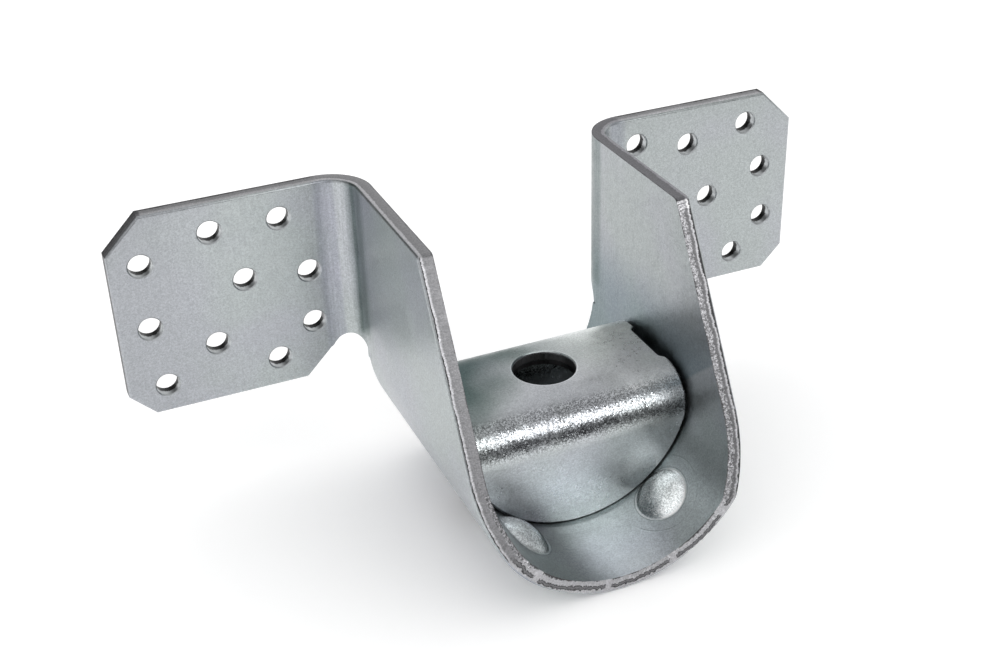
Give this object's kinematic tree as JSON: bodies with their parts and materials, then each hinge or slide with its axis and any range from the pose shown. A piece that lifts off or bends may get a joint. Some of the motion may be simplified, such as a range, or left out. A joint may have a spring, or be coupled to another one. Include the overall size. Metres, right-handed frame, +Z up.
{
  "type": "girder tiedown",
  "caption": "Bent sheet-steel saddle with a round seat and two screw flanges, holding a crescent washer that swivels on the seat under an anchor rod's nut.",
  "frame": {"origin": "centre of the rod hole, on the washer's top face where the nut bears", "axes": "+X along the truss face, +Y into the truss, +Z up along the anchor rod"},
  "size_m": [0.2286, 0.1058, 0.0954],
  "materials": {
    "galvanized_sheet": "hot-dip galvanized, satin, with bare sheared edges",
    "galvanized_washer": "galvanized, satin, bright on the pressed bends"
  },
  "bodies": {
    "saddle": {"body": "galvanized_sheet"},
    "washer": {"crescent_washer": "galvanized_washer"}
  },
  "joints": [
    {"name": "washer_swivel", "type": "hinge", "parent": "saddle", "child": "washer", "pos_m": [0, 0, -0.0027], "axis": [0, 1, 0], "range_deg": [-33.7, 33.7]}
  ]
}
